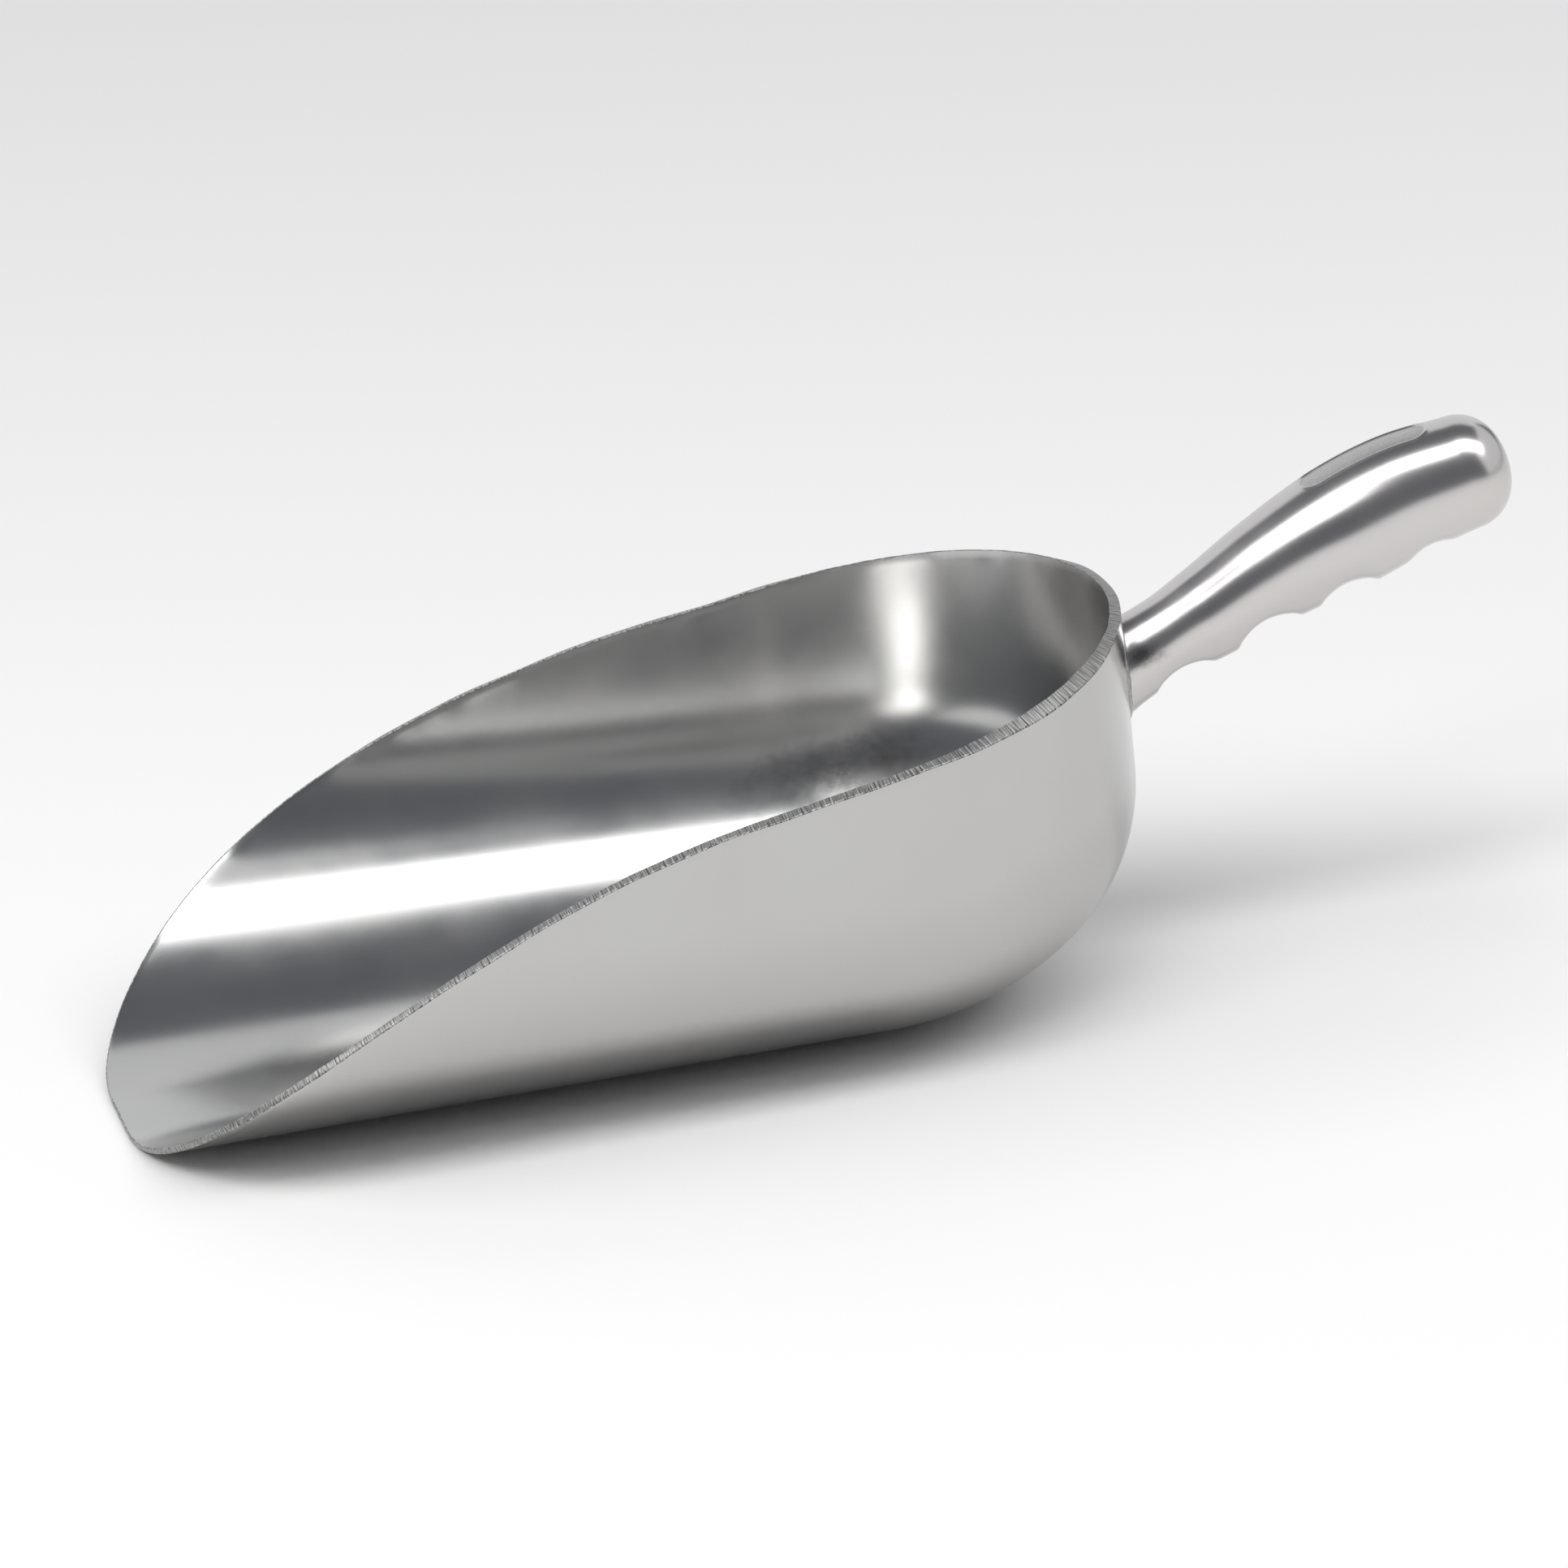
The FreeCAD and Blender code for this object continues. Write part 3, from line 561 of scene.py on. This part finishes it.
def polishedAluminium(name, metal, metalWarm, patch):
    # cast aluminium, buffed with a wheel: reflections are clear but soft-edged, clouded where the
    # buffing was lighter, and darker and rougher in one patch. on the bowl that patch is painted shade, a dark
    # reflection painted on the inside of the far wall; on the grip it is a spot that the wheel didn't reach.
    # the patch is an ellipsoid: distance from its middle, plus noise for a ragged edge, turned to 1 inside
    p = polish
    middle, halfSizes, mottling = patch
    material, tree = newMaterial(name)
    place = addNode(tree, "ShaderNodeTexCoord").outputs["Object"]
    cloud = addNode(tree, "ShaderNodeTexNoise", {"Vector": place, "Scale": 1 / p["clouds"], "Detail": 3.0})
    grain = addNode(tree, "ShaderNodeTexNoise", {"Vector": place, "Scale": 1 / p["grain"], "Detail": 3.0})
    mottle = addNode(tree, "ShaderNodeTexNoise",
                     {"Vector": place, "Scale": 1 / (mottling * mm), "Detail": 5.0, "Roughness": 0.7})
    fromMiddle = addNode(tree, "ShaderNodeMapping",
                         {"Vector": place, "Scale": [1 / (h * mm) for h in halfSizes],
                          "Location": [-m / h for m, h in zip(middle, halfSizes)]})
    distance = addNode(tree, "ShaderNodeVectorMath", {0: fromMiddle.outputs[0]}, operation="LENGTH")
    ragged = addNode(tree, "ShaderNodeMath", {0: mottle.outputs[0], 1: 1.0, 2: distance.outputs["Value"]},
                     operation="MULTIPLY_ADD")
    inSpotAndShade = addNode(tree, "ShaderNodeMapRange",
                      {"Value": ragged.outputs[0], "From Min": p["patchBorder"][0],
                       "From Max": p["patchBorder"][1], "To Min": 1.0, "To Max": 0.0})
    colour = addNode(tree, "ShaderNodeMix",
                     {0: cloud.outputs[0], 6: linearColour(metal), 7: linearColour(metalWarm)},
                     data_type="RGBA")
    # painted shade: inside the bowl's patch this darkens the metal's colour where a dark reflection should
    # show; on the grip the same darkening is an unbuffed spot
    darker = addNode(tree, "ShaderNodeMapRange",
                     {"Value": inSpotAndShade.outputs[0], "To Min": 1.0, "To Max": p["spotAndShadeColour"]})
    shaded = addNode(tree, "ShaderNodeVectorMath", {0: colour.outputs[2], "Scale": darker.outputs[0]},
                     operation="SCALE")
    rough = addNode(tree, "ShaderNodeMapRange",
                    {"Value": cloud.outputs[0],
                     "From Min": p["cloudRange"][0], "From Max": p["cloudRange"][1],
                     "To Min": p["roughness"][0], "To Max": p["roughness"][1]})
    rougher = addNode(tree, "ShaderNodeMath",
                      {0: inSpotAndShade.outputs[0], 1: p["patchRoughness"], 2: rough.outputs[0]},
                      operation="MULTIPLY_ADD")
    fine = addNode(tree, "ShaderNodeBump",
                   {"Height": grain.outputs[0], "Distance": p["grainHeight"], "Strength": 1.0})
    shader = addNode(tree, "ShaderNodeBsdfPrincipled",
                     {"Base Color": shaded.outputs[0], "Roughness": rougher.outputs[0],
                      "Normal": fine.outputs[0], "Metallic": 1.0})
    addNode(tree, "ShaderNodeOutputMaterial", {"Surface": shader.outputs[0]})
    return material


filing = dict(
    dark="#474746",
    bright="#cfcfcc",
    marks=0.5 * mm,            # spacing of the file's teeth along the edge
    stretch=14.0,              # noise cells from skin to skin, so few that a mark runs across the edge
    contrast=(0.4, 0.62),      # noise values at which a mark is dark and bright
    roughNoise=(0.3, 0.7),     # and those between which the roughness goes up
    roughness=(0.34, 0.5),
    depth=0.2 * mm,            # real marks are shallower, drawn this deep so that they show
)


def filedEdge():
    # edge of cast aluminium, filed by hand across its width: short dark and bright scratches side by
    # side. the marks are noise on the edge's own length, squeezed along it and stretched across it
    e = filing
    material, tree = newMaterial("filedCastAluminium")
    along = addNode(tree, "ShaderNodeUVMap", uv_map="along")
    squeezed = addNode(tree, "ShaderNodeMapping",
                       {"Vector": along.outputs[0], "Scale": (1 / e["marks"], e["stretch"], 1.0)})
    marks = addNode(tree, "ShaderNodeTexNoise",
                    {"Vector": squeezed.outputs[0], "Scale": 1.0, "Detail": 4.0, "Roughness": 0.75})
    contrast = addNode(tree, "ShaderNodeMapRange",
                       {"Value": marks.outputs[0],
                        "From Min": e["contrast"][0], "From Max": e["contrast"][1]})
    colour = addNode(tree, "ShaderNodeMix",
                     {0: contrast.outputs[0], 6: linearColour(e["dark"]), 7: linearColour(e["bright"])},
                     data_type="RGBA")
    rough = addNode(tree, "ShaderNodeMapRange",
                    {"Value": marks.outputs[0],
                     "From Min": e["roughNoise"][0], "From Max": e["roughNoise"][1],
                     "To Min": e["roughness"][0], "To Max": e["roughness"][1]})
    bump = addNode(tree, "ShaderNodeBump",
                   {"Height": marks.outputs[0], "Distance": e["depth"], "Strength": 1.0})
    shader = addNode(tree, "ShaderNodeBsdfPrincipled",
                     {"Base Color": colour.outputs[2], "Roughness": rough.outputs[0],
                      "Normal": bump.outputs[0], "Metallic": 1.0})
    addNode(tree, "ShaderNodeOutputMaterial", {"Surface": shader.outputs[0]})
    return material


def grittyAluminium(name, finish):
    # bare aluminium with one size of grit: noise from dark hollows to bright crests, in colour and bump
    material, tree = newMaterial(name)
    place = addNode(tree, "ShaderNodeTexCoord").outputs["Object"]
    grit = addNode(tree, "ShaderNodeTexNoise",
                   {"Vector": place, "Scale": 1 / finish["grit"], "Detail": finish["detail"],
                    "Roughness": finish["fineness"]})
    colour = addNode(tree, "ShaderNodeMix",
                     {0: grit.outputs[0], 6: linearColour(finish["dark"]), 7: linearColour(finish["bright"])},
                     data_type="RGBA")
    bump = addNode(tree, "ShaderNodeBump",
                   {"Height": grit.outputs[0], "Distance": finish["depth"], "Strength": 1.0})
    shader = addNode(tree, "ShaderNodeBsdfPrincipled",
                     {"Base Color": colour.outputs[2], "Normal": bump.outputs[0], "Metallic": 1.0,
                      "Roughness": finish["roughness"]})
    addNode(tree, "ShaderNodeOutputMaterial", {"Surface": shader.outputs[0]})
    return material


# the label's blank ground, left as cast and blasted: dull and finely pebbled
blastedPanel = dict(
    dark="#a8a7a5",
    bright="#d2d1cf",
    grit=0.6 * mm,             # blasting leaves finer dimples, drawn this coarse so that they show
    detail=2.0,
    fineness=0.5,              # how strong the finer parts of the noise are
    depth=0.05 * mm,
    roughness=0.42,
)

# weld dressed with a small grinder: coarse, with bright rubbed crests, and darker overall as painted
# shade in the crease between bowl and handle
groundWeldAndCreaseShade = dict(
    # painted shade: this dark end is kept low so that the seam reads as the shadowed crease between bowl and
    # handle
    dark="#4b4b4a",
    bright="#d2d1cf",
    grit=0.7 * mm,
    detail=4.0,
    fineness=0.65,
    depth=0.08 * mm,
    roughness=0.26,
)


def direction(azimuth, elevation):
    # unit vector towards a place in the studio: azimuth 0 is the scoop's near side, -Y, growing
    # towards +X, so x and y are its sine and minus cosine times the elevation's cosine
    return np.array([math.sin(azimuth) * math.cos(elevation), -math.cos(azimuth) * math.cos(elevation),
                     math.sin(elevation)])


viewpoint = dict(
    azimuth=math.radians(-10.0),
    elevation=math.radians(20.64),
    roll=math.radians(5.74),
    distance=3.597,
    lens=371.0,                # mm on a 36 mm sensor
    aimX=-7.04 * mm,
    aimZ=53.39 * mm,
    farthest=50.0,             # nothing beyond this many metres is drawn
)


def makeCamera():
    # the camera's own Z runs from the aim point back to the camera, and its right and up are the level
    # ones turned by the roll about that line
    v = viewpoint
    right = np.array([math.cos(v["azimuth"]), math.sin(v["azimuth"]), 0])
    back = direction(v["azimuth"], v["elevation"])
    up = np.cross(back, right)
    turnedRight = right * math.cos(v["roll"]) - up * math.sin(v["roll"])
    turnedUp = right * math.sin(v["roll"]) + up * math.cos(v["roll"])
    matrix = np.eye(4)
    matrix[:3, 0], matrix[:3, 1], matrix[:3, 2] = turnedRight, turnedUp, back
    matrix[:3, 3] = np.array([v["aimX"], 0, v["aimZ"]]) + back * v["distance"]
    data = bpy.data.cameras.new("camera")
    data.lens = v["lens"]
    data.clip_end = v["farthest"]
    camera = bpy.data.objects.new("camera", data)
    camera.matrix_world = Matrix(matrix.tolist())
    bpy.context.scene.collection.objects.link(camera)
    bpy.context.scene.camera = camera
    print("placed the camera")


studio = dict(
    floorColour="#eeedec",
    floorRoughness=0.8,
    floorSize=30.0,
    floorDrop=0.1 * mm,        # keeps the floor just clear of the resting strip
    surround="#6a6c72",        # the dim room behind the lights
    middle=(0.0, 0.0, 0.05),
    # azimuth and elevation in degrees, distance, width and height in metres, turn in degrees, brightness
    softBoxes=dict(
        overhead=(23, 65, 1.52, 2.7, 0.6, -23, 3.8),
        overheadNear=(-23, 44, 1.5, 0.66, 0.36, 23, 3.0),
        left=(-90, 42, 1.5, 1.6, 0.32, 0, 6.4),
        back=(180, 25, 2.4, 3.6, 2.9, 0, 0.7),
        right=(90, 24, 1.8, 3.0, 1.5, 0, 0.6),
    ),
)


def makeStudio():
    # a pale floor, a dim even surround, and soft boxes that all face the scoop. a box's power is its
    # brightness times pi times its area, so that its size doesn't change how bright it looks
    s = studio
    scene = bpy.context.scene
    half = s["floorSize"] / 2
    mesh = bpy.data.meshes.new("floor")
    level = -s["floorDrop"]
    corners = [(-half, -half, level), (half, -half, level), (half, half, level), (-half, half, level)]
    mesh.from_pydata(corners, [], [(0, 1, 2, 3)])
    material, tree = newMaterial("paintedFloor")
    shader = addNode(tree, "ShaderNodeBsdfPrincipled",
                     {"Base Color": linearColour(s["floorColour"]), "Roughness": s["floorRoughness"]})
    addNode(tree, "ShaderNodeOutputMaterial", {"Surface": shader.outputs[0]})
    mesh.materials.append(material)
    floor = bpy.data.objects.new("floor", mesh)
    scene.collection.objects.link(floor)
    world = bpy.data.worlds.new("studio")
    scene.world = world
    world.use_nodes = True
    world.node_tree.nodes["Background"].inputs["Color"].default_value = linearColour(s["surround"])
    for name, (azimuth, elevation, distance, width, height, turn, brightness) in s["softBoxes"].items():
        data = bpy.data.lights.new(name, "AREA")
        data.shape = "RECTANGLE"
        data.size, data.size_y = width, height
        data.energy = brightness * math.pi * width * height
        lamp = bpy.data.objects.new(name, data)
        toLamp = Vector(direction(math.radians(azimuth), math.radians(elevation)))
        lamp.location = Vector(s["middle"]) + toLamp * distance
        facing = toLamp.to_track_quat("Z", "Y") @ Quaternion((0, 0, 1), math.radians(turn))
        lamp.rotation_euler = facing.to_euler()
        lamp.visible_camera = False
        scene.collection.objects.link(lamp)
    scene.view_settings.view_transform = "Standard"
    print("made the studio with", len(s["softBoxes"]), "soft boxes")


bowlMetal = polishedAluminium("polishedBowlAluminium", polish["bowlMetal"], polish["bowlMetalWarm"],
                              polish["bowlPaintedShade"])
gripMetal = polishedAluminium("polishedGripAluminium", polish["gripMetal"], polish["gripMetalWarm"],
                              polish["gripPatch"])
filedMetal = filedEdge()
panelMetal = grittyAluminium("blastedAluminium", blastedPanel)
weldMetal = grittyAluminium("weldAluminiumWithCreaseShade", groundWeldAndCreaseShade)
print("mixed the materials:", *[m.name for m in (bowlMetal, gripMetal, filedMetal, panelMetal, weldMetal)])

makeBowl([bowlMetal, filedMetal])
makeHandle([gripMetal, panelMetal])
makeBead([weldMetal])
makeCamera()
makeStudio()
